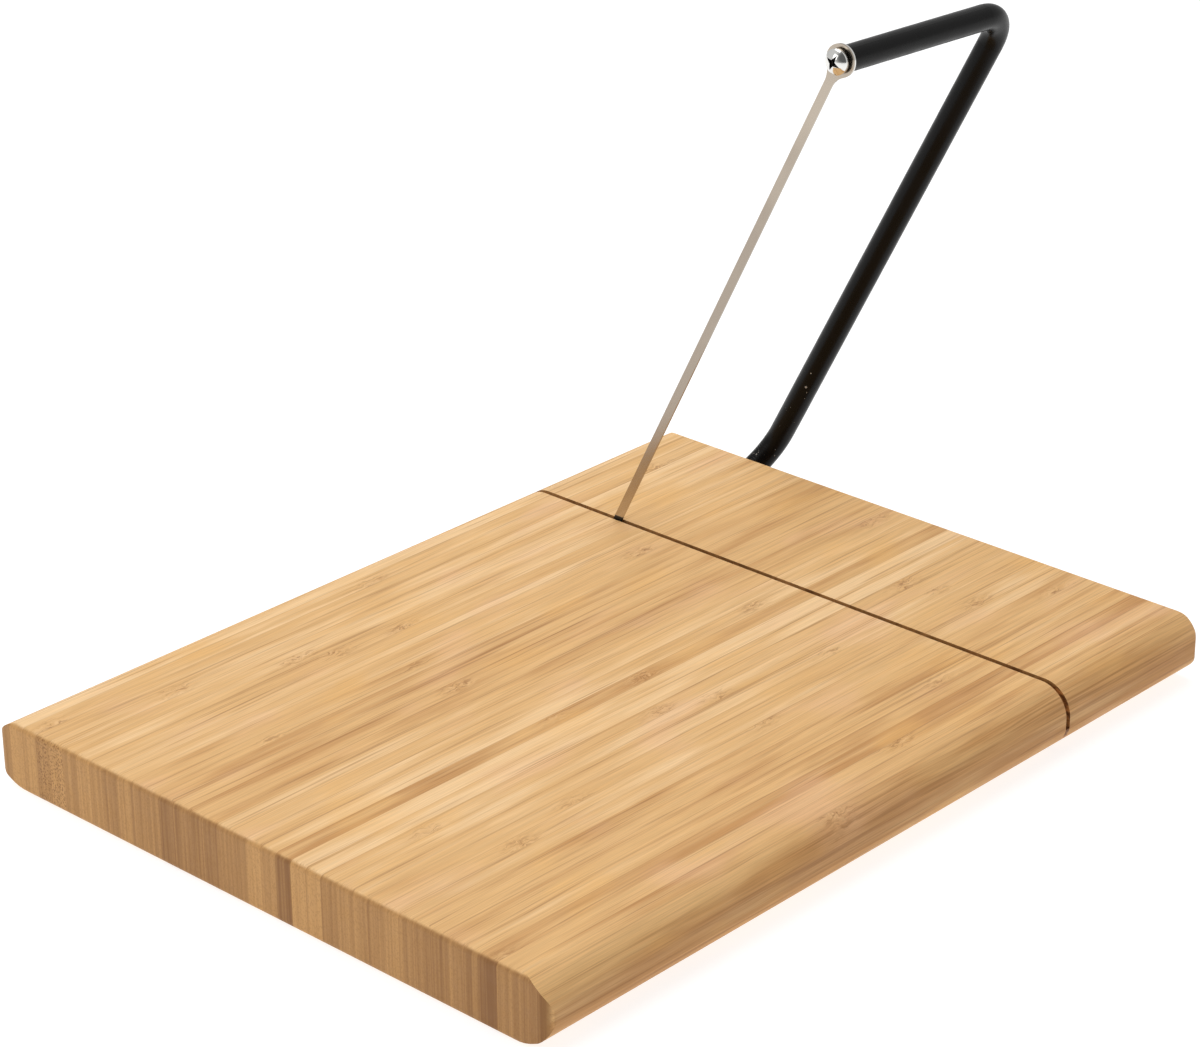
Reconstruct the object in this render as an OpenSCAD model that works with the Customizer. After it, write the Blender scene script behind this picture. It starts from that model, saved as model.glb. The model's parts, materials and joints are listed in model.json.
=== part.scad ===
// Bamboo cheese board with a hinged bow slicer.
//
// The board is glued up from upright bamboo strips. A saw groove crosses it near one end.
// A bent steel rod turns in a bore drilled into that end. It comes out beyond the end face,
// rises as an arm and turns back over the groove as a handle. A flat steel blade is held
// between the two ends of the rod and swings down into the groove.
//
// Origin: centre of the board's underside. +X runs along the grain to the slicer end,
// -Y is the user's side and +Z is up. The bow is drawn where it stands at rest.

/* [Board] */
// Length of the board along the grain
board_l = 240; // [220:1:280]
// Width of the board across the grain
board_w = 185; // [165:1:205]
// Thickness of the board
board_t = 18; // [17:0.5:24]
// Number of bamboo strips, odd so that one lies on the centre line
strip_count = 37; // [25:2:45]
// Radius of the top of the two long edges
top_r = 8; // [4:0.5:9]
// Radius of the shallow curve under the two long edges
under_r = 24; // [22:1:28]
// How far that shallow curve reaches in from the side
under_w = 14; // [11:0.5:14.5]
// Radius that blends the shallow curve into the side
under_blend_r = 6; // [4:0.5:6.5]
// Radius of the two corners at the plain end, seen from above
plain_corner_r = 3; // [1:0.5:6]
// Radius of the two corners at the slicer end, seen from above
slicer_corner_r = 1; // [1:0.5:6]
// Radius of the edges at the two sawn ends
end_ease = 1.5; // [0.5:0.25:2]

/* [Groove and screw recess] */
// Distance from the slicer end to the middle of the groove
groove_from_end = 55; // [45:1:75]
// Width of the groove
groove_w = 1.5; // [1.2:0.1:2.5]
// Depth of the groove below the top face
groove_depth = 11; // [10.5:0.5:12]
// Width of the recess in the underside that holds the lower screw
recess_w = 18; // [14:0.5:19]
// Length of the recess, with room for a screwdriver
recess_l = 42; // [30:1:60]
// Depth of the recess
recess_depth = 14; // [13.75:0.25:14.5]

/* [Bow] */
// Distance from the board's back edge to the hinge line
pivot_from_back = 30; // [25:1:50]
// Height of the hinge line above the underside
pivot_z = 9; // [8.5:0.25:9.5]
// Diameter of the rod with its black coating
rod_d = 6.8; // [6:0.1:7]
// Centre-line radius of the bend at the foot of the arm
foot_bend_r = 18; // [14:0.5:19]
// Centre-line radius of the bend between the arm and the handle
top_bend_r = 11; // [7:0.5:12]
// Distance from the end face to the foot of the arm's centre line
arm_gap = 9; // [8:0.5:12]
// Length of the arm between the two corners of its centre line
arm_l = 168.5; // [150:0.5:190]
// Angle by which the arm leans away from the board
arm_lean = 1.8; // [0:0.1:4]
// Angle by which the handle rises towards the blade
bar_rise = 3; // [0:0.5:4]
// Lean of the bow from upright towards the user, as it stands at rest
rest_lean = 27.2; // [0:0.1:60]
// Radial clearance of the rod in its bore
running_clearance = 0.05; // [0.02:0.01:0.1]

/* [Blade] */
// Width of the blade strip
blade_w = 2.5; // [2:0.1:3]
// Thickness of the blade strip
blade_t = 0.5; // [0.4:0.1:0.8]
// Diameter of the eyelet at each end
eyelet_d = 8.5; // [8.5:0.1:9]
// Length over which an eyelet narrows to the strip, from its centre
neck_l = 7.25; // [6.5:0.25:9]

/* [Screws and washers] */
// Diameter of the screw shank
shank_d = 3.5; // [3:0.1:4]
// Length of the shank below the head
shank_l = 9.5; // [8:0.5:14]
// Diameter of the domed head
head_d = 6.6; // [6:0.1:7]
// Height of the head's straight rim
head_rim = 0.8; // [0.5:0.1:1.2]
// Height of the dome above the rim
head_dome = 1.5; // [1.2:0.1:2]
// Outer diameter of the spring washer under the head
spring_washer_d = 6; // [5.6:0.1:6.4]
// Thickness of the spring washer
spring_washer_t = 0.8; // [0.6:0.1:1]
// Outer diameter of the flat washer on the end of the rod
flat_washer_d = 8.4; // [6.8:0.1:8.4]
// Thickness of the flat washer
flat_washer_t = 0.5; // [0.4:0.1:0.8]

/* [Hidden] */
$fn = 64;
strip_w = board_w / strip_count;
groove_x = board_l / 2 - groove_from_end;
pivot_y = board_w / 2 - pivot_from_back;
rod_r = rod_d / 2;
bore_r = rod_r + running_clearance;
hole_fit = 0.05; // radial gap round the shank in washers, eyelets and tapped holes
past = 1; // how far a cutting shape runs past the face it cuts
bend_thinning = 0.02; // a drawn bend is this much slimmer in radius, from stretching
bend_tuck = 0.4; // how far a bend reaches into the straight rod on either side

// The stack at each end of the rod, measured outwards from the rod's end face.
eyelet_at = flat_washer_t;
spring_washer_at = eyelet_at + blade_t;
head_at = spring_washer_at + spring_washer_t;
rod_end_x = groove_x + blade_t / 2 + flat_washer_t;
recess_end_x = rod_end_x + 4; // the recess's blind end, just past the end of the rod

// Centre line of the rod: shaft, first bend, arm, second bend, handle.
arm_foot_x = board_l / 2 + arm_gap;
foot_turn = 90 - arm_lean;
top_turn = 90 + arm_lean - bar_rise;
foot_tangent = foot_bend_r * tan(foot_turn / 2);
top_tangent = top_bend_r * tan(top_turn / 2);
shaft_l = arm_foot_x - foot_tangent - rod_end_x;
arm_top_x = arm_foot_x + arm_l * sin(arm_lean);
arm_top_z = arm_l * cos(arm_lean);

// The foot bend starts inside the board, so the bore's mouth widens to let it swing.
mouth_l = board_l / 2 - arm_foot_x + foot_tangent;
mouth_turn = asin(mouth_l / foot_bend_r);
mouth_gap = 0.5;
mouth_r = foot_bend_r * (1 - cos(mouth_turn)) + rod_r / cos(mouth_turn) + mouth_gap;

// The upper part of the blade tilts with the handle, from a bend line just below its neck.
tilt_x = neck_l * sin(bar_rise);
upper_eyelet_x = groove_x + tilt_x;
upper_eyelet_z = arm_top_z + (arm_top_x - upper_eyelet_x) * tan(bar_rise);
blade_bend_z = upper_eyelet_z - neck_l * cos(bar_rise);
bar_l = (arm_top_x - upper_eyelet_x) / cos(bar_rise);
bar_run_l = bar_l - top_tangent - blade_t / 2 - flat_washer_t;

// The neck's two hollow curves touch both the strip's sides and the eyelet's edge.
eyelet_r = eyelet_d / 2;
strip_r = blade_w / 2;
neck_r = (neck_l * neck_l + strip_r * strip_r - eyelet_r * eyelet_r) / (2 * (eyelet_r - strip_r));
neck_touch = eyelet_r / (eyelet_r + neck_r);

// The blend's circle would just touch the shallow curve, and dips 0.02 mm below it so that
// the two really cross, close to that point.
blend_dip = 0.02;
blend_y = board_w / 2 - under_blend_r;
under_y = board_w / 2 - under_w;
touching_z = under_r - sqrt(pow(under_r - under_blend_r, 2) - pow(blend_y - under_y, 2));
blend_z = touching_z - blend_dip;
handover_y = under_y + (blend_y - under_y) * under_r / (under_r - under_blend_r);

BAMBOO = "#d9ab6c";
COATING = "#1b1b1d";
STEEL = "#c9c6c2";

function two_digits(i) = str(i < 10 ? "0" : "", i);
function strip_name(i) = str("bamboo_strip_", two_digits(i));

// ---- Board ----

// What is routed off one long edge, seen along the board: the round top, the shallow
// curve below, and its blend into the side.
module edge_waste() {
    side = board_w / 2;
    difference() {
        translate([side - top_r, board_t - top_r]) square(top_r + past);
        translate([side - top_r, board_t - top_r]) circle(r = top_r);
    }
    difference() {
        translate([under_y, -past]) square([under_w + past, blend_z + past]);
        translate([under_y, under_r]) circle(r = under_r);
    }
    difference() {
        translate([handover_y, -past]) square([side + past - handover_y, blend_z + past]);
        translate([blend_y, blend_z]) circle(r = under_blend_r);
    }
}

module board_section() {
    difference() {
        translate([-board_w / 2, 0]) square([board_w, board_t]);
        edge_waste();
        mirror([1, 0]) edge_waste();
    }
}

// Rectangle centred on the origin with round corners.
module rounded_rectangle(size, r) {
    square([size.x - 2 * r, size.y], center = true);
    square([size.x, size.y - 2 * r], center = true);
    for (sx = [-1, 1], sy = [-1, 1]) {
        translate([sx * (size.x / 2 - r), sy * (size.y / 2 - r)]) circle(r = r);
    }
}

// The board's shape seen from above. Each rectangle rounds the corners of one end, and
// runs on past the other end.
module board_outline() {
    longer = [board_l + 20, board_w];
    intersection() {
        translate([10, 0]) rounded_rectangle(longer, plain_corner_r);
        translate([-10, 0]) rounded_rectangle(longer, slicer_corner_r);
    }
}

// The finished outside of the board, before the groove and holes.
module board_blank() {
    intersection() {
        rotate([90, 0, 90]) linear_extrude(board_l, center = true) board_section();
        linear_extrude(board_t) board_outline();
        translate([0, 0, board_t / 2]) rotate([90, 0, 0]) {
            linear_extrude(board_w, center = true) rounded_rectangle([board_l, board_t], end_ease);
        }
    }
}

module groove_cut() {
    translate([groove_x - groove_w / 2, -board_w / 2 - past, board_t - groove_depth]) {
        cube([groove_w, board_w + 2 * past, groove_depth + past]);
    }
}

module shaft_bore() {
    bore_l = board_l / 2 - recess_end_x + 2 * past;
    translate([recess_end_x - past, pivot_y, pivot_z]) rotate([0, 90, 0]) {
        cylinder(r = bore_r, h = bore_l);
    }
}

// Cone that widens the bore towards the slicer end.
module bore_mouth() {
    slope = (mouth_r - bore_r) / mouth_l;
    big_r = mouth_r + slope * past;
    small_r = bore_r - slope * past;
    translate([board_l / 2 + past, pivot_y, pivot_z]) rotate([0, -90, 0]) {
        cylinder(r1 = big_r, r2 = small_r, h = mouth_l + 2 * past);
    }
}

// Slot with one round end, routed from below: it clears the lower screw and eyelet.
module screw_recess() {
    round_x = recess_end_x - recess_l + recess_w / 2;
    translate([0, 0, -past]) {
        translate([round_x, pivot_y, 0]) cylinder(d = recess_w, h = recess_depth + past);
        translate([round_x, pivot_y - recess_w / 2, 0]) {
            cube([recess_end_x - round_x, recess_w, recess_depth + past]);
        }
    }
}

// One strip of the glued-up board. Strip 1 is at the user's side.
module bamboo_strip(i) {
    color(BAMBOO) difference() {
        intersection() {
            board_blank();
            translate([-board_l / 2, -board_w / 2 + (i - 1) * strip_w, 0]) {
                cube([board_l, strip_w, board_t]);
            }
        }
        groove_cut();
        shaft_bore();
        bore_mouth();
        screw_recess();
    }
}

// ---- Bow ----

// The bow is drawn upright round the hinge line, then leaned to its rest angle.
module in_bow_frame() {
    translate([0, pivot_y, pivot_z]) rotate([rest_lean, 0, 0]) children();
}

// Places a stack so that +Z points out of the lower or the upper end of the rod.
module at_shaft_end() {
    in_bow_frame() translate([rod_end_x, 0, 0]) rotate([0, -90, 0]) children();
}

module at_handle_end() {
    in_bow_frame() translate([upper_eyelet_x, 0, upper_eyelet_z]) {
        rotate([0, bar_rise - 90, 0]) translate([0, 0, -blade_t / 2 - flat_washer_t]) children();
    }
}

// A straight length of rod along +X; what follows starts at its far end.
module straight_rod(l) {
    rotate([0, 90, 0]) cylinder(r = rod_r, h = l);
    translate([l, 0, 0]) children();
}

// A bend that turns the rod from +X towards +Z; what follows starts at its far end.
module bent_rod(turn, r) {
    tuck = atan(bend_tuck / r);
    translate([0, 0, r]) {
        rotate([90, 0, 0]) rotate([0, 0, -90 - tuck]) {
            rotate_extrude(angle = turn + 2 * tuck) {
                translate([r, 0]) circle(r = rod_r - bend_thinning);
            }
        }
        rotate([0, -turn, 0]) translate([0, 0, -r]) children();
    }
}

// The tapped hole in an end of the rod, drawn with +Z pointing out of it.
module tapped_hole() {
    depth = shank_l - head_at + past;
    translate([0, 0, -depth]) cylinder(r = shank_d / 2 + hole_fit, h = depth + past);
}

module bow_rod() {
    color(COATING) difference() {
        in_bow_frame() translate([rod_end_x, 0, 0]) {
            straight_rod(shaft_l)
            bent_rod(foot_turn, foot_bend_r)
            straight_rod(arm_l - foot_tangent - top_tangent)
            bent_rod(top_turn, top_bend_r)
            straight_rod(bar_run_l);
        }
        at_shaft_end() tapped_hole();
        at_handle_end() tapped_hole();
    }
}

// ---- Blade ----

// One end of the blade: the eyelet round the origin, narrowing to the strip up +Y.
module blade_end() {
    touch_x = (strip_r + neck_r) * neck_touch;
    touch_y = neck_l * neck_touch;
    difference() {
        union() {
            circle(r = eyelet_r);
            difference() {
                translate([-touch_x, touch_y]) square([2 * touch_x, neck_l - touch_y]);
                for (side = [-1, 1]) {
                    translate([side * (strip_r + neck_r), neck_l]) circle(r = neck_r);
                }
            }
        }
        circle(r = shank_d / 2 + hole_fit);
    }
}

// Stands a flat outline up in the YZ plane, centred on its own thickness.
module blade_plate() {
    rotate([90, 0, 90]) linear_extrude(blade_t, center = true) children();
}

module blade() {
    color(STEEL) in_bow_frame() translate([groove_x, 0, 0]) {
        blade_plate() {
            blade_end();
            translate([-strip_r, neck_l]) square([blade_w, blade_bend_z - neck_l]);
        }
        translate([0, 0, blade_bend_z]) {
            rotate([90, 0, 0]) cylinder(d = blade_t, h = blade_w, center = true);
            rotate([0, bar_rise, 0]) {
                blade_plate() translate([0, neck_l]) mirror([0, 1]) blade_end();
            }
        }
    }
}

// ---- Screws and washers, each drawn with +Z pointing out of the rod's end ----

// Star-shaped hollow of a cross-head screw: a wide star, and a narrower one further down.
module cross_recess() {
    tip = head_d * 0.34;
    waist = tip * 0.36;
    top = head_rim + head_dome;
    star = [for (k = [0:7]) (k % 2 == 0 ? tip : waist) * [cos(45 * k), sin(45 * k)]];
    translate([0, 0, top - 1.1]) linear_extrude(top) polygon(star);
    translate([0, 0, top - 1.7]) linear_extrude(top) polygon(0.6 * star);
}

module domed_head() {
    dome_r = (pow(head_d / 2, 2) + pow(head_dome, 2)) / (2 * head_dome);
    difference() {
        intersection() {
            cylinder(d = head_d, h = head_rim + head_dome);
            translate([0, 0, head_rim + head_dome - dome_r]) sphere(r = dome_r);
        }
        cross_recess();
    }
}

module screw() {
    color(STEEL) translate([0, 0, head_at]) {
        domed_head();
        translate([0, 0, -shank_l]) cylinder(d = shank_d, h = shank_l + past / 2);
    }
}

module washer_ring(d, t) {
    difference() {
        cylinder(d = d, h = t);
        translate([0, 0, -past]) cylinder(r = shank_d / 2 + hole_fit, h = t + 2 * past);
    }
}

// Split ring: the slanted saw cut through one side makes it springy.
module spring_washer() {
    split_w = 0.5;
    split_slant = 25;
    color(STEEL) translate([0, 0, spring_washer_at]) difference() {
        washer_ring(spring_washer_d, spring_washer_t);
        rotate([0, 0, 200]) translate([0, 0, spring_washer_t / 2]) rotate([split_slant, 0, 0]) {
            translate([0, -split_w / 2, -spring_washer_t]) {
                cube([spring_washer_d, split_w, 2 * spring_washer_t]);
            }
        }
    }
}

module flat_washer() {
    color(STEEL) washer_ring(flat_washer_d, flat_washer_t);
}

for (i = [1:strip_count]) {
    bamboo_strip(i);
}
bow_rod();
blade();
at_handle_end() screw();  // handle_screw
at_handle_end() spring_washer();  // handle_spring_washer
at_handle_end() flat_washer();  // handle_flat_washer
at_shaft_end() screw();  // shaft_screw
at_shaft_end() spring_washer();  // shaft_spring_washer
at_shaft_end() flat_washer();  // shaft_flat_washer
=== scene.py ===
"""A bamboo cheese board with a hinged bow slicer, in a plain pale studio.

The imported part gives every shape. This script gives each piece its material, and adds the
floor, the lights and the camera. Units are metres, in the part's own frame: +X runs along
the grain to the slicer end, -Y is the user's side, and the board lies on Z = 0. A material
is worked out in its piece's own frame, so its marks ride with the bow when it moves.
"""
import json
import math

import bpy
from mathutils import Matrix, Vector


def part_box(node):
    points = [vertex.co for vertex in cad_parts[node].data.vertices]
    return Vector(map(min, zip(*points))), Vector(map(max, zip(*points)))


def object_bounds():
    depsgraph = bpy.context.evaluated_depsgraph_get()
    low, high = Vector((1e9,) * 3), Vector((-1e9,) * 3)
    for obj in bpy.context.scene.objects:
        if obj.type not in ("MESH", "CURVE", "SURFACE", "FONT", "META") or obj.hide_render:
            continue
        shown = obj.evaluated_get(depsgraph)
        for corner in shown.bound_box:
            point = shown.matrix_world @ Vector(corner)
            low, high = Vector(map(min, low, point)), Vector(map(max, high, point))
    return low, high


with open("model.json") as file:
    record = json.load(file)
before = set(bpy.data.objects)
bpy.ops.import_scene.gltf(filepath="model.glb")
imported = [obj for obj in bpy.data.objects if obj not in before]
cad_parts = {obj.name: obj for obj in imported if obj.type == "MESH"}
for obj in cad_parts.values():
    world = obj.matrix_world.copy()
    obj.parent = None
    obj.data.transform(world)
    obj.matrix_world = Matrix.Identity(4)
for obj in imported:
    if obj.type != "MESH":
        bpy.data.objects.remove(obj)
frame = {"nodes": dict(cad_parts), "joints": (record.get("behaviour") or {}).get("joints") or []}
CAD_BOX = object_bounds()

MM = 0.001

# ---- What the frame says about the part ----

STRIPS = sorted(name for name in frame["nodes"] if name.startswith("bamboo_strip_"))
TOP_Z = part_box(STRIPS[-1])[1].z
HINGE = next(joint for joint in frame["joints"] if joint["name"] == "bow_hinge")
HINGE_Y, HINGE_Z = HINGE["pos_m"][1:]
BLADE_T = 0.5 * MM
GROOVE_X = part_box("blade")[0].x + BLADE_T / 2
GROOVE_HALF = 0.75 * MM

# ---- The screws at the bow's two ends, with the bow at rest ----

# How far the bow leans towards the user, and how far its handle bar rises from level.
LEAN = math.radians(27.2)
BAR_RISE = math.radians(3.0)
# The way that each screw's head points.
HANDLE_OUT = Vector((
    -math.cos(BAR_RISE),
    -math.sin(BAR_RISE) * math.sin(LEAN),
    math.sin(BAR_RISE) * math.cos(LEAN),
))
SHAFT_OUT = Vector((-1.0, 0.0, 0.0))
# The top of a screw's head, measured out from the middle of its flat washer, the radius of
# the sphere that the head is part of, and the star recess in it.
HEAD_TOP = 3.85 * MM
DOME_R = 4.38 * MM
RECESS_DEPTH = 1.75 * MM
RECESS_R = 2.4 * MM
# A point starts to count as inside the recess at the first depth under that sphere, and
# counts in full from the second.
DOME_SKIN = 0.04 * MM
DOME_CLEAR = 0.10 * MM

# ---- Colours, as the eye sees them (sRGB, 0 to 1) ----

BAMBOO_PALE = (0.940, 0.785, 0.580)
BAMBOO_MID = (0.875, 0.695, 0.460)
BAMBOO_DEEP = (0.770, 0.565, 0.335)
BAMBOO_BLUSH = (0.910, 0.720, 0.560)
BAMBOO_HONEY = (0.915, 0.705, 0.410)
FIBRE_DARK = (0.580, 0.380, 0.190)
END_PALE = (0.795, 0.600, 0.362)
END_DEEP = (0.540, 0.362, 0.180)
SAW_BROWN = (0.820, 0.560, 0.310)
SAW_BURN = (0.430, 0.260, 0.125)
COAT_BLACK = (0.035, 0.033, 0.032)
# The pale specks and spots on the rod, and its painted glints.
SPOT_AND_GLINT_PALE = (0.620, 0.600, 0.570)
# The blade's steel, light and dark; the dark tone carries its smears and its painted reflection.
STEEL_BRIGHT = (0.760, 0.715, 0.655)
STEEL_DARK_TONE = (0.645, 0.600, 0.550)
PLATING = (0.900, 0.895, 0.880)
DARK_WASHER_TONE = (0.150, 0.140, 0.130)
# The painted shade inside a screw's star recess.
RECESS_SHADE_COLOUR = (0.110, 0.075, 0.050)
FLOOR_PAINT = (0.640, 0.640, 0.640)
FLOOR_GLOW = (0.985, 0.985, 0.985)

# ---- The board's character ----

# How dark each strip is, from the user's side: strips by number, and their tone from 0, the
# palest, to 1, the deepest. Every other strip is middling.
STRIP_TONES = {
    0.95: (4,),
    0.80: (1, 17, 25),
    0.62: (2, 5, 7, 8, 22, 23, 24),
    0.30: (10, 12, 13, 18, 28, 30, 32, 34),
    0.14: (15, 19, 31, 33, 35),
    0.02: (16, 36),
}
MIDDLING_TONE = 0.46
# How much of the difference between strips shows on their tops. Their ends show all of it.
TOP_CONTRAST = 0.7
# Strips whose ends show their bundles most clearly, and how clearly.
DOTTED_STRIPS = (33, 34)
DOTS_CLEAR = 0.75
DOTS_FAINT = 0.22

# Joints of the bamboo cane: (x, y) of each one, in millimetres, and how strong it looks.
CANE_JOINTS = (
    (-114, 78, 1.0), (-82, 70, 0.8), (-50, 61, 0.9), (-41, 56, 0.9), (-20, 53, 1.1),
    (-84, 33, 0.6), (-33, 37, 0.5), (-34, 20, 1.0), (-7, 78, 0.9), (-30, -9, 0.5),
    (0, -10, 1.0), (48, -4, 0.7), (-90, -26, 0.7), (-11, -26, 0.9), (4, -31, 0.8),
    (42, -36, 0.6), (-80, -46, 0.8), (2, -48, 0.8), (-57, -41, 0.6), (16, -78, 1.0),
    (-20, -88, 0.9), (48, -67, 0.8), (98, 73, 0.9), (53, 39, 1.0), (110, 6, 1.0),
    (84, -25, 1.0), (88, -33, 0.7), (89, -46, 0.8), (108, -57, 1.0), (-117, -77, 0.6),
)
# How far a cane joint reaches along and across the grain.
JOINT_REACH_X = 5.0 * MM
JOINT_REACH_Y = 2.6 * MM

# How fine each kind of mark in the bamboo is, in marks per metre along X, Y and Z. Marks
# that follow the fibres are long in X and short in Y and Z.
DRIFT_GRAIN = (14, 60, 60)
SWIRL_GRAIN = (330, 420, 420)
STREAK_GRAIN = (11, 300, 300)
BUNDLE_GRAIN = (19, 1600, 1300)
THREAD_GRAIN = (60, 4300, 3600)
PATCH_GRAIN = (26, 110, 80)
CLOUD_GRAIN = (28, 55, 55)
FLECK_GRAIN = (260, 1500, 900)
BAND_GRAIN = (1, 950, 12)
DOT_GRAIN = (1, 2300, 1700)
SCORCH_GRAIN = (300, 420, 700)

# How far the fibres wander sideways, up and down, and round a cane joint.
DRIFT_Y = 1.6 * MM
DRIFT_Z = 1.2 * MM
SWIRL_Y = 7.0 * MM
FIBRE_RELIEF = 0.08 * MM
# A glue line is darkest up to the first distance from a strip's side, and gone at the second.
GLUE_DARK = 0.03 * MM
GLUE_GONE = 0.16 * MM
# The scorch is whole up to the first distance beyond the groove's wall, and gone at the second.
BURN_WHOLE = 0.01 * MM
BURN_GONE = 0.05 * MM
# The scorch is mixed in more strongly with depth as a painted shade: faintest down to the first
# depth below the board's top, and deepest from the second.
LIP_DEPTH = 0.1 * MM
SHADE_FULL_DEPTH = 0.9 * MM

# ---- The metal's character ----

# Pale spots on the rod, at rest: where they are, and their radii, in millimetres. The first two
# sit low on the arm; the last two are painted highlights, glints on the creases in the bend at
# its foot.
PALE_SPOTS_AND_GLINTS = (
    ((127.2, 44.4, 41.0), 0.35),
    ((127.0, 42.6, 45.6), 0.20),
    ((123.5, 59.0, 17.7), 0.22),
    ((123.9, 58.7, 18.3), 0.13),
)
# Small pale specks are as common as they get up to the first height, and stop at the second.
SPECKS_LOW = 30 * MM
SPECKS_HIGH = 60 * MM

# Where the coating is creased, in the bend at the foot of the arm, and the way along the rod.
CREASE = Vector((123.9, 58.7, 18.3)) * MM
CREASE_RUN = Vector((0.54, -0.38, 0.75))
# The creases are whole up to the first distance from there, and gone at the second.
CREASE_WHOLE = 1.5 * MM
CREASE_GONE = 4.5 * MM
CREASE_PERIOD = 0.75 * MM
CREASE_RELIEF = 0.06 * MM
PEEL_RELIEF = 0.04 * MM

# A painted reflection darkens the blade between the first two heights, and brightens it again
# between the others.
REFLECTION_DARKENS = (15 * MM, 55 * MM)
REFLECTION_BRIGHTENS = (100 * MM, 150 * MM)
SMEAR_GRAIN = (40, 60, 60)
# Rub marks run along the blade, which points away from the hinge: how many there are in each
# radian about the hinge, and in each metre out from it.
RUBS_ACROSS = 900.0
RUBS_ALONG = 60.0
RUB_RELIEF = 0.02 * MM
# The black on the blade's foot is whole up to the first height over the board's top, and gone
# at the second.
BLACK_FOOT_WHOLE = 1.5 * MM
BLACK_FOOT_GONE = 1.9 * MM

TURNING_GRAIN = (5200, 500, 500)
TURNING_RELIEF = 0.01 * MM


def linear(srgb):
    """A colour as the eye sees it, in the linear light that the shaders work in."""
    low, high = 0.04045, 2.4
    parts = [c / 12.92 if c <= low else ((c + 0.055) / 1.055) ** high for c in srgb]
    return (*parts, 1.0)


class Nodes:
    """A material's node tree, with a short method for each kind of node it uses."""

    def __init__(self, name):
        self.material = bpy.data.materials.new(name)
        self.material.use_nodes = True
        self.tree = self.material.node_tree
        self.shader = self.tree.nodes["Principled BSDF"]

    def feed(self, socket, value):
        """Links an output to a socket, or sets the socket to a plain value."""
        if isinstance(value, bpy.types.NodeSocket):
            self.tree.links.new(value, socket)
        else:
            socket.default_value = value

    def add(self, kind, *inputs, **settings):
        """A new node with these settings, and these inputs in the order of its sockets."""
        node = self.tree.nodes.new(kind)
        for setting, value in settings.items():
            setattr(node, setting, value)
        for socket, value in zip(node.inputs, inputs):
            self.feed(socket, value)
        return node

    def math(self, operation, *inputs, clamp=False):
        node = self.add("ShaderNodeMath", *inputs, operation=operation, use_clamp=clamp)
        return node.outputs[0]

    def squares(self, a, b):
        """a squared plus b squared."""
        return self.math("ADD", self.math("POWER", a, 2.0), self.math("POWER", b, 2.0))

    def place(self):
        """The point's own place in metres, in its piece's frame."""
        return self.add("ShaderNodeTexCoord").outputs["Object"]

    def facing(self):
        """The surface's own direction, in its piece's frame."""
        return self.add("ShaderNodeTexCoord").outputs["Normal"]

    def split(self, vector):
        """A vector's x, y and z."""
        return self.add("ShaderNodeSeparateXYZ", vector).outputs

    def vector(self, x, y, z):
        return self.add("ShaderNodeCombineXYZ", x, y, z).outputs[0]

    def combine(self, operation, a, b):
        """Two vectors combined into another vector."""
        return self.add("ShaderNodeVectorMath", a, b, operation=operation).outputs["Vector"]

    def measure(self, operation, a, b):
        """Two vectors combined into one number."""
        return self.add("ShaderNodeVectorMath", a, b, operation=operation).outputs["Value"]

    def noise(self, vector, scale=1.0, detail=2.0, roughness=0.5, shift=0.0):
        """Smooth noise from 0 to 1; shift picks another pattern of the same kind."""
        node = self.add("ShaderNodeTexNoise", noise_dimensions="4D")
        self.feed(node.inputs["Vector"], vector)
        self.feed(node.inputs["W"], shift)
        self.feed(node.inputs["Scale"], scale)
        self.feed(node.inputs["Detail"], detail)
        self.feed(node.inputs["Roughness"], roughness)
        return node.outputs["Fac"]

    def grain(self, vector, fineness, **settings):
        """Noise that is as fine as this along X, Y and Z, in marks per metre."""
        return self.noise(self.combine("MULTIPLY", vector, fineness), **settings)

    def step(self, value, start, end, low=0.0, high=1.0):
        """Rises or falls smoothly from low to high as value goes from start to end."""
        node = self.add("ShaderNodeMapRange", interpolation_type="SMOOTHSTEP")
        for socket, given in zip(node.inputs, (value, start, end, low, high)):
            self.feed(socket, given)
        return node.outputs[0]

    def sway(self, value, start, end, amount):
        """Rises smoothly from -amount to amount as value goes from start to end."""
        return self.step(value, start, end, -amount, amount)

    def mix(self, factor, a, b, blend="MIX"):
        node = self.add("ShaderNodeMix", data_type="RGBA", blend_type=blend)
        self.feed(node.inputs["Factor"], factor)
        colours = [socket for socket in node.inputs if socket.type == "RGBA"]
        self.feed(colours[0], a)
        self.feed(colours[1], b)
        return next(out for out in node.outputs if out.type == "RGBA")

    def bump(self, height, depth, strength, under=None):
        """A relief of this depth in metres, on top of the relief under it."""
        node = self.add("ShaderNodeBump")
        self.feed(node.inputs["Height"], height)
        self.feed(node.inputs["Distance"], depth)
        self.feed(node.inputs["Strength"], strength)
        if under is not None:
            self.feed(node.inputs["Normal"], under)
        return node.outputs["Normal"]

    def finish(self, **sockets):
        """Feeds the Principled shader, whose sockets go by their names in small letters."""
        by_name = {socket.name.lower().replace(" ", "_"): socket for socket in self.shader.inputs}
        for name, value in sockets.items():
            self.feed(by_name[name], value)
        return self.material


# ---- Bamboo ----


def strip_tone(number):
    for tone, numbers in STRIP_TONES.items():
        if number in numbers:
            return tone
    return MIDDLING_TONE


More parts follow.
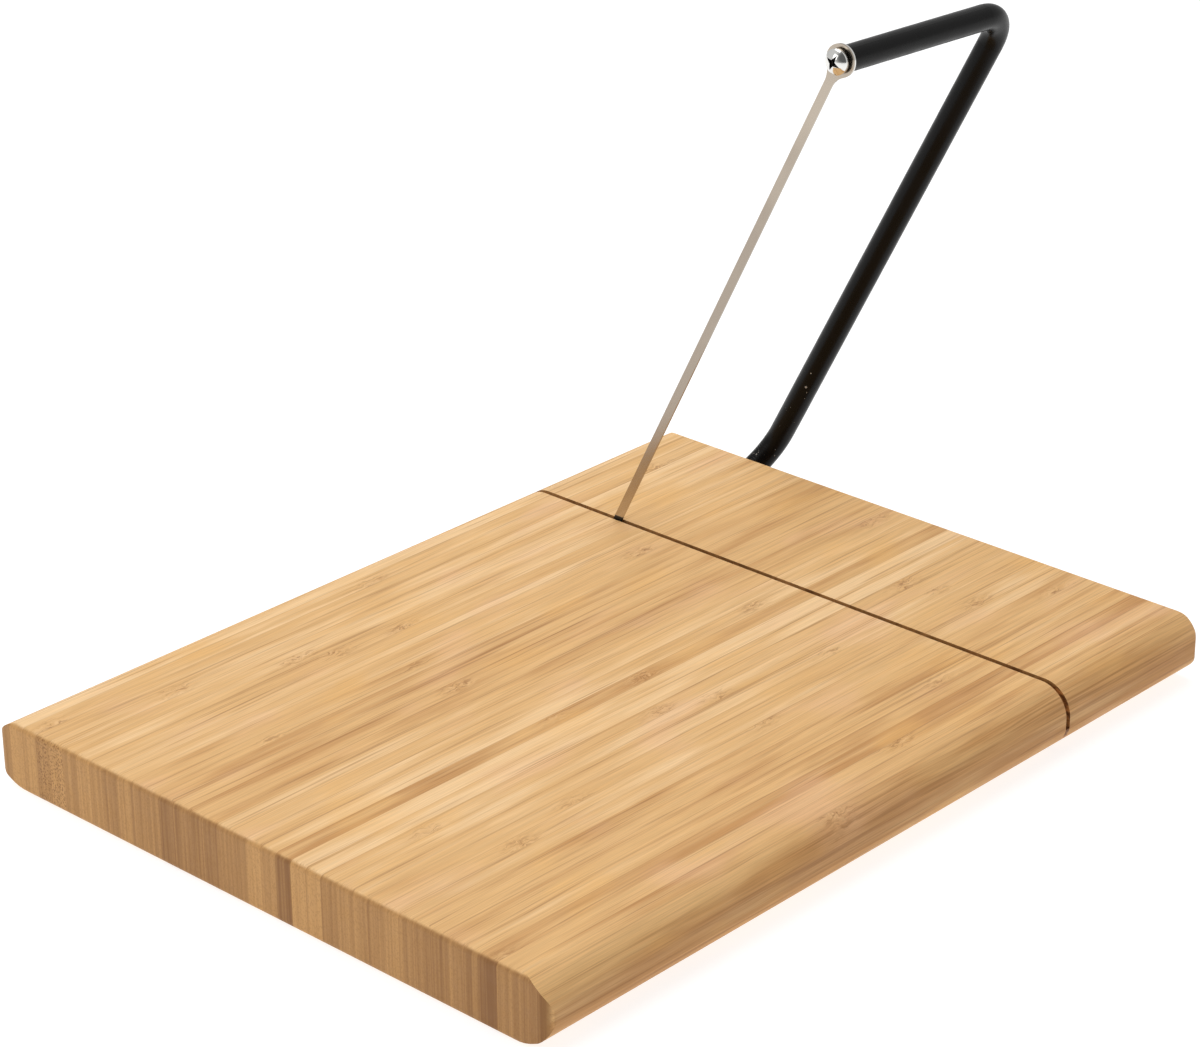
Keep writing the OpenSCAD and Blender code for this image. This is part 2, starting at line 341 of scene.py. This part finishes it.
def joint_mask(nodes, x, y, low_y, high_y):
    """How strong the cane joints on this strip are here, or None where it has none."""
    total = None
    for joint_x, joint_y, strength in CANE_JOINTS:
        if not low_y <= joint_y * MM < high_y:
            continue
        along = nodes.math("DIVIDE", nodes.math("SUBTRACT", x, joint_x * MM), JOINT_REACH_X)
        across = nodes.math("DIVIDE", nodes.math("SUBTRACT", y, joint_y * MM), JOINT_REACH_Y)
        fall = nodes.math("MULTIPLY", nodes.squares(along, across), -1.0)
        spot = nodes.math("MULTIPLY", nodes.math("EXPONENT", fall), strength)
        total = spot if total is None else nodes.math("MAXIMUM", total, spot)
    return total


def bent_grain(nodes, where, joints, seed):
    """Where a point lies among the fibres, which wander, and swirl round a cane joint."""
    x, y, z = nodes.split(where)
    drift = nodes.math("SUBTRACT", nodes.grain(where, DRIFT_GRAIN, shift=seed), 0.5)
    bent_y = nodes.math("MULTIPLY_ADD", drift, DRIFT_Y, y)
    bent_z = nodes.math("MULTIPLY_ADD", drift, DRIFT_Z, z)
    if joints is not None:
        swirl = nodes.math("SUBTRACT", nodes.grain(where, SWIRL_GRAIN, shift=seed), 0.5)
        swirl = nodes.math("MULTIPLY", swirl, joints)
        bent_y = nodes.math("MULTIPLY_ADD", swirl, SWIRL_Y, bent_y)
    return nodes.vector(x, bent_y, bent_z)


def add_flecks(nodes, side, bent, joints, seed):
    """The side's colour, with the dark and pale flecks of its cane joints."""
    flecks = nodes.grain(bent, FLECK_GRAIN, detail=3, roughness=0.7, shift=seed + 3)
    deep = nodes.math("MULTIPLY", joints, 0.30, clamp=True)
    dark = nodes.math("MULTIPLY", nodes.step(flecks, 0.50, 0.62, 0.0, 0.80), joints, clamp=True)
    pale = nodes.math("MULTIPLY", nodes.step(flecks, 0.47, 0.36, 0.0, 0.50), joints, clamp=True)
    side = nodes.mix(deep, side, linear(BAMBOO_DEEP))
    side = nodes.mix(dark, side, linear(FIBRE_DARK))
    return nodes.mix(pale, side, linear(BAMBOO_PALE))


def strip_end(nodes, where, number, seed):
    """A strip's colour end on: its growth as upright bands, and its bundles as dots."""
    bands = nodes.grain(where, BAND_GRAIN, detail=4, roughness=0.65, shift=seed + 6)
    dots = nodes.grain(where, DOT_GRAIN, detail=1, shift=seed + 8)
    tone = nodes.math("ADD", strip_tone(number), nodes.sway(bands, 0.3, 0.7, 0.22), clamp=True)
    end = nodes.mix(tone, linear(END_PALE), linear(END_DEEP))
    clear = DOTS_CLEAR if number in DOTTED_STRIPS else DOTS_FAINT
    return nodes.mix(nodes.step(dots, 0.50, 0.62, 0.0, clear), end, linear(END_DEEP))


def add_glue(nodes, colour, y, low_y, high_y):
    """The colour, with a hair-thin glue line at each side of the strip."""
    from_low = nodes.math("SUBTRACT", y, low_y)
    from_high = nodes.math("SUBTRACT", high_y, y)
    from_edge = nodes.math("MINIMUM", from_low, from_high)
    glue = nodes.step(from_edge, GLUE_DARK, GLUE_GONE, 0.26, 0.0)
    return nodes.mix(glue, colour, linear(FIBRE_DARK))


def add_scorch_and_shade(nodes, colour, where):
    """The colour, with the groove's walls scorched by the saw, and a painted shade that deepens
    the scorch into the groove, least near its lips.
    """
    x, _, z = nodes.split(where)
    from_groove = nodes.math("ABSOLUTE", nodes.math("SUBTRACT", x, GROOVE_X))
    burnt = nodes.step(from_groove, GROOVE_HALF + BURN_GONE, GROOVE_HALF + BURN_WHOLE)
    # Painted shade: the scorch grows stronger with depth below the board's top.
    deeper = nodes.step(z, TOP_Z - LIP_DEPTH, TOP_Z - SHADE_FULL_DEPTH, 0.25, 0.90)
    flecked = nodes.grain(where, SCORCH_GRAIN, detail=2, shift=4.0)
    scorch = nodes.mix(nodes.step(flecked, 0.40, 0.62), linear(SAW_BROWN), linear(SAW_BURN))
    return nodes.mix(nodes.math("MULTIPLY", burnt, deeper), colour, scorch)


def bamboo(number, low_y, high_y):
    """One strip's bamboo: fibres along X, seen from the side on top and end on at the ends."""
    nodes = Nodes(f"bamboo_{number:02d}")
    where = nodes.place()
    x, y, _ = nodes.split(where)
    seed = 1.7 * number
    joints = joint_mask(nodes, x, y, low_y, high_y)
    bent = bent_grain(nodes, where, joints, seed)

    streaks = nodes.grain(bent, STREAK_GRAIN, detail=3, roughness=0.55, shift=seed)
    bundles = nodes.grain(bent, BUNDLE_GRAIN, detail=2, roughness=0.6, shift=seed + 9)
    threads = nodes.grain(bent, THREAD_GRAIN, detail=2, roughness=0.7, shift=seed + 5)
    patches = nodes.grain(where, PATCH_GRAIN, detail=2, roughness=0.5, shift=seed + 2)
    # Clouds of colour drift across strips, so they have one pattern for the whole board.
    clouds = nodes.grain(where, CLOUD_GRAIN, detail=2, shift=3.0)

    # Each slat is denser and darker towards what was the outside of the cane.
    across = nodes.math("DIVIDE", nodes.math("SUBTRACT", y, low_y), high_y - low_y)
    if number % 3 == 1:
        across = nodes.math("SUBTRACT", 1.0, across)
    outer = nodes.step(across, 0.55, 1.0)

    middle = 0.5 + TOP_CONTRAST * (strip_tone(number) - 0.5)
    tone = nodes.math("ADD", middle, nodes.sway(streaks, 0.28, 0.72, 0.22))
    tone = nodes.math("ADD", tone, nodes.sway(patches, 0.30, 0.70, 0.14))
    tone = nodes.math("MULTIPLY_ADD", outer, 0.12, tone, clamp=True)

    side = nodes.mix(nodes.step(tone, 0.0, 0.5), linear(BAMBOO_PALE), linear(BAMBOO_MID))
    side = nodes.mix(nodes.step(tone, 0.5, 1.0), side, linear(BAMBOO_DEEP))
    side = nodes.mix(nodes.step(clouds, 0.52, 0.72, 0.0, 0.40), side, linear(BAMBOO_BLUSH))
    side = nodes.mix(nodes.step(clouds, 0.46, 0.28, 0.0, 0.40), side, linear(BAMBOO_HONEY))
    density = nodes.math("MULTIPLY_ADD", outer, 0.04, nodes.math("MULTIPLY", tone, 0.04))
    lines = nodes.step(nodes.math("ADD", bundles, density), 0.57, 0.74, 0.0, 0.48)
    side = nodes.mix(lines, side, linear(FIBRE_DARK))
    fine = nodes.step(threads, 0.34, 0.66, 0.91, 1.07)
    side = nodes.mix(1.0, side, nodes.vector(fine, fine, fine), "MULTIPLY")
    if joints is not None:
        side = add_flecks(nodes, side, bent, joints, seed)

    facing_x = nodes.math("ABSOLUTE", nodes.split(nodes.facing())[0])
    end_on = nodes.step(facing_x, 0.35, 0.85)
    colour = nodes.mix(end_on, side, strip_end(nodes, where, number, seed))
    colour = add_glue(nodes, colour, y, low_y, high_y)
    colour = add_scorch_and_shade(nodes, colour, where)

    relief = nodes.math("MULTIPLY_ADD", lines, -0.7, threads)
    return nodes.finish(
        base_color=colour,
        roughness=nodes.step(streaks, 0.2, 0.8, 0.50, 0.62),
        normal=nodes.bump(relief, FIBRE_RELIEF, 0.30),
        specular_ior_level=0.35,
    )


# ---- Metal ----


def find_spots_and_glints(nodes, where):
    """1 on the pale specks and spots and on the painted glints, and 0 elsewhere."""
    _, _, z = nodes.split(where)
    specks = nodes.noise(where, scale=1500, detail=1, shift=7)
    low_down = nodes.step(z, SPECKS_HIGH, SPECKS_LOW)
    spots_and_glints = nodes.math("MULTIPLY", nodes.step(specks, 0.735, 0.755), low_down)
    # The last two spots are painted highlights: glints on the creases at the arm's foot.
    for pale_spot, radius in PALE_SPOTS_AND_GLINTS:
        from_pale_spot = nodes.measure("DISTANCE", where, Vector(pale_spot) * MM)
        edge = radius * MM
        spots_and_glints = nodes.math("MAXIMUM", spots_and_glints, nodes.step(from_pale_spot, 1.2 * edge, 0.8 * edge))
    return spots_and_glints


def crease_relief(nodes, where):
    """Ridges across the inside of the bend at the foot of the arm, from -1 to 1."""
    creased = nodes.step(nodes.measure("DISTANCE", where, CREASE), CREASE_GONE, CREASE_WHOLE)
    along = nodes.measure("DOT_PRODUCT", where, CREASE_RUN)
    wander = nodes.noise(where, scale=500, detail=1, shift=2)
    turns = nodes.math("MULTIPLY", along, math.tau / CREASE_PERIOD)
    ridges = nodes.math("SINE", nodes.math("MULTIPLY_ADD", wander, 4.0, turns))
    return nodes.math("MULTIPLY", ridges, creased)


def black_coating():
    """Satin black dip coating on the rod, with a faint orange peel, a few tiny pale specks and
    spots, and painted glints on the creases at the arm's foot.
    """
    nodes = Nodes("black_coating")
    where = nodes.place()
    peel = nodes.noise(where, scale=900, detail=2)
    wear = nodes.noise(where, scale=220, detail=3, shift=4)
    fine = nodes.bump(peel, PEEL_RELIEF, 0.25)
    spots_and_glints = find_spots_and_glints(nodes, where)
    return nodes.finish(
        base_color=nodes.mix(spots_and_glints, linear(COAT_BLACK), linear(SPOT_AND_GLINT_PALE)),
        roughness=nodes.step(wear, 0.3, 0.7, 0.24, 0.34),
        normal=nodes.bump(crease_relief(nodes, where), CREASE_RELIEF, 0.7, under=fine),
        specular_ior_level=0.12,
    )


def blade_steel():
    """Polished steel strip with lengthwise rub marks and smears, a painted reflection that
    darkens its middle heights, and a black foot.
    """
    nodes = Nodes("blade_steel")
    where = nodes.place()
    _, y, z = nodes.split(where)
    across = nodes.math("SUBTRACT", y, HINGE_Y)
    above = nodes.math("SUBTRACT", z, HINGE_Z)
    from_hinge = nodes.math("SQRT", nodes.squares(across, above))
    angle = nodes.math("ARCTAN2", across, above)
    turned = nodes.math("MULTIPLY", angle, RUBS_ACROSS)
    outward = nodes.math("MULTIPLY", from_hinge, RUBS_ALONG)
    rubs = nodes.noise(nodes.vector(turned, outward, 0.0), detail=3)
    smears = nodes.grain(where, SMEAR_GRAIN, detail=2, shift=3)

    # Painted reflection: the steel's colour is darker between the first two heights and lighter
    # again above, on top of the random smears.
    smears_and_reflection = nodes.step(z, *REFLECTION_DARKENS, 0.15, 1.1)
    smears_and_reflection = nodes.math("ADD", smears_and_reflection, nodes.sway(smears, 0.3, 0.7, 0.2))
    reflection_brightening = nodes.step(z, *REFLECTION_BRIGHTENS, 0.0, 0.5)
    smears_and_reflection = nodes.math("SUBTRACT", smears_and_reflection, reflection_brightening, clamp=True)
    metal = nodes.mix(smears_and_reflection, linear(STEEL_BRIGHT), linear(STEEL_DARK_TONE))

    # The blade's foot is black just over the board's top: not metallic, and rougher.
    black_foot = nodes.step(z, TOP_Z + BLACK_FOOT_GONE, TOP_Z + BLACK_FOOT_WHOLE)
    rubbed = nodes.step(rubs, 0.3, 0.7, 0.16, 0.27)
    return nodes.finish(
        base_color=nodes.mix(black_foot, metal, linear(COAT_BLACK)),
        metallic=nodes.math("SUBTRACT", 1.0, black_foot),
        roughness=nodes.math("ADD", rubbed, nodes.math("MULTIPLY", black_foot, 0.2)),
        normal=nodes.bump(rubs, RUB_RELIEF, 0.25),
    )


def recess_mask(nodes, where, end, outward):
    """1 inside the star recess of the screw head at this end of the bow, where the painted shade
    goes, and 0 elsewhere.
    """
    low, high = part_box(f"{end}_flat_washer")
    seat = (low + high) / 2
    from_seat = nodes.combine("SUBTRACT", where, seat)
    along = nodes.measure("DOT_PRODUCT", from_seat, outward)
    far = nodes.math("POWER", nodes.measure("DISTANCE", where, seat), 2.0)
    radius = nodes.math("SQRT", nodes.math("SUBTRACT", far, nodes.math("POWER", along, 2.0)))
    dome_middle = seat + (HEAD_TOP - DOME_R) * outward
    from_dome = nodes.measure("DISTANCE", where, dome_middle)
    below = nodes.step(from_dome, DOME_R - DOME_SKIN, DOME_R - DOME_CLEAR)
    inside = nodes.math("MULTIPLY", nodes.math("LESS_THAN", radius, RECESS_R), below)
    above = nodes.math("GREATER_THAN", along, HEAD_TOP - RECESS_DEPTH)
    return nodes.math("MULTIPLY", inside, above)


def plated_steel(name, tint, dullness, end=None, outward=None):
    """Plating with faint turning marks and patchy grime, and a painted shade that fills a screw's
    star recess.
    """
    nodes = Nodes(name)
    where = nodes.place()
    grime = nodes.noise(where, scale=420, detail=3, roughness=0.6)
    marks = nodes.grain(where, TURNING_GRAIN, detail=2, shift=2)
    deeper = tuple(0.75 * part for part in tint)
    colour = nodes.mix(nodes.step(grime, 0.45, 0.75, 0.0, 0.6), linear(tint), linear(deeper))
    roughness = nodes.step(grime, 0.3, 0.7, dullness, dullness + 0.09)
    metallic = 1.0
    if end:
        # Painted shade: the star recess is darkened, made rougher and not metallic, standing in
        # for the shade inside it.
        recess_shade = recess_mask(nodes, where, end, outward)
        colour = nodes.mix(recess_shade, colour, linear(RECESS_SHADE_COLOUR))
        roughness = nodes.math("MULTIPLY_ADD", recess_shade, 0.5, roughness)
        metallic = nodes.math("SUBTRACT", 1.0, recess_shade)
    return nodes.finish(
        base_color=colour,
        metallic=metallic,
        roughness=roughness,
        normal=nodes.bump(marks, TURNING_RELIEF, 0.2),
    )


def dress(node, material):
    """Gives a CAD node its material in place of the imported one."""
    mesh = frame["nodes"][node].data
    mesh.materials.clear()
    mesh.materials.append(material)


def dress_part():
    for number, node in enumerate(STRIPS, start=1):
        low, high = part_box(node)
        dress(node, bamboo(number, low.y, high.y))
    dress("bow_rod", black_coating())
    dress("blade", blade_steel())
    washer = plated_steel("plated_washer", PLATING, 0.12)
    # The spring washers are dark, giving the dark band under each screw's head.
    dark_washer = plated_steel("blackened_washer", DARK_WASHER_TONE, 0.35)
    for end, outward in (("handle", HANDLE_OUT), ("shaft", SHAFT_OUT)):
        dress(f"{end}_screw", plated_steel(f"plated_{end}_screw", PLATING, 0.06, end, outward))
        dress(f"{end}_flat_washer", washer)
        dress(f"{end}_spring_washer", dark_washer)


# ---- Studio ----

FLOOR_R = 4.0
FLOOR_DROP = 0.02 * MM
FLOOR_GLOW_STRENGTH = 0.82
# The surroundings' strength away from the camera, and behind it. They darken between these
# two cosines of the angle from the camera's direction.
WORLD_LIGHT = 0.69
DARK_SIDE = 0.12
DARK_FROM = 0.50
DARK_FULL = 0.95
# The camera stands off the near left corner: its turn from +X towards +Y, how far it looks
# down, and how far it tips to one side, in degrees, and its lens in millimetres.
CAMERA_PLACE = Vector((-598.7, -558.9, 432.0)) * MM
CAMERA_YAW = 43.209
CAMERA_PITCH = 24.625
CAMERA_ROLL = -0.555
CAMERA_LENS = 110.72


def floor_material():
    nodes = Nodes("studio_floor")
    return nodes.finish(
        base_color=linear(FLOOR_PAINT),
        roughness=0.9,
        specular_ior_level=0.1,
        emission_color=linear(FLOOR_GLOW),
        emission_strength=FLOOR_GLOW_STRENGTH,
    )


def add_floor():
    """A wide round floor, a hair under the board so that the two don't share a face."""
    bpy.ops.mesh.primitive_circle_add(vertices=96, radius=FLOOR_R, fill_type="NGON")
    floor = bpy.context.object
    floor.name = "studio_floor"
    floor.location.z = CAD_BOX[0].z - FLOOR_DROP
    floor.data.materials.append(floor_material())


def add_world():
    """White surroundings, with the darker side of the studio behind the camera."""
    world = bpy.data.worlds.new("studio")
    bpy.context.scene.world = world
    world.use_nodes = True
    tree = world.node_tree
    background = tree.nodes["Background"]
    where = tree.nodes.new("ShaderNodeTexCoord")
    towards = tree.nodes.new("ShaderNodeVectorMath")
    towards.operation = "DOT_PRODUCT"
    towards.inputs[1].default_value = CAMERA_PLACE.normalized()
    ramp = tree.nodes.new("ShaderNodeMapRange")
    ramp.interpolation_type = "SMOOTHSTEP"
    tree.links.new(where.outputs["Generated"], towards.inputs[0])
    tree.links.new(towards.outputs["Value"], ramp.inputs[0])
    for socket, value in zip(ramp.inputs[1:5], (DARK_FROM, DARK_FULL, WORLD_LIGHT, DARK_SIDE)):
        socket.default_value = value
    tree.links.new(ramp.outputs[0], background.inputs["Strength"])
    background.inputs["Color"].default_value = (1.0, 1.0, 1.0, 1.0)


def add_softbox(name, place, target, size, power):
    """A flat light of this size in metres and power in watts, turned towards its target."""
    light = bpy.data.lights.new(name, "AREA")
    light.shape = "RECTANGLE"
    light.size, light.size_y = size
    light.energy = power
    lamp = bpy.data.objects.new(name, light)
    bpy.context.scene.collection.objects.link(lamp)
    lamp.location = place
    lamp.rotation_euler = (Vector(target) - Vector(place)).to_track_quat("-Z", "Y").to_euler()


def camera_turn():
    """The camera's turn: the columns are its right, its up and the way behind it."""
    yaw = math.radians(CAMERA_YAW)
    pitch = math.radians(CAMERA_PITCH)
    roll = math.radians(CAMERA_ROLL)
    forward = Vector((
        math.cos(yaw) * math.cos(pitch),
        math.sin(yaw) * math.cos(pitch),
        -math.sin(pitch),
    ))
    level = Vector((math.sin(yaw), -math.cos(yaw), 0.0))
    upright = level.cross(forward)
    right = math.cos(roll) * level + math.sin(roll) * upright
    up = math.cos(roll) * upright - math.sin(roll) * level
    return Matrix((right, up, -forward)).transposed()


def add_camera():
    camera = bpy.data.cameras.new("camera")
    camera.sensor_fit = "HORIZONTAL"
    camera.sensor_width = 36.0
    camera.lens = CAMERA_LENS
    camera.clip_start = 0.05
    camera.clip_end = 50.0
    holder = bpy.data.objects.new("camera", camera)
    holder.matrix_world = Matrix.Translation(CAMERA_PLACE) @ camera_turn().to_4x4()
    bpy.context.scene.collection.objects.link(holder)
    bpy.context.scene.camera = holder


bpy.context.scene.view_settings.view_transform = "Standard"
dress_part()
add_floor()
add_world()
add_softbox("overhead", (0.15, 0.30, 1.60), (0.0, 0.0, 0.0), (1.6, 1.2), 14.0)
add_softbox("left_fill", (-1.4, 0.5, 0.9), (0.0, 0.0, 0.05), (0.9, 0.9), 4.0)
add_camera()
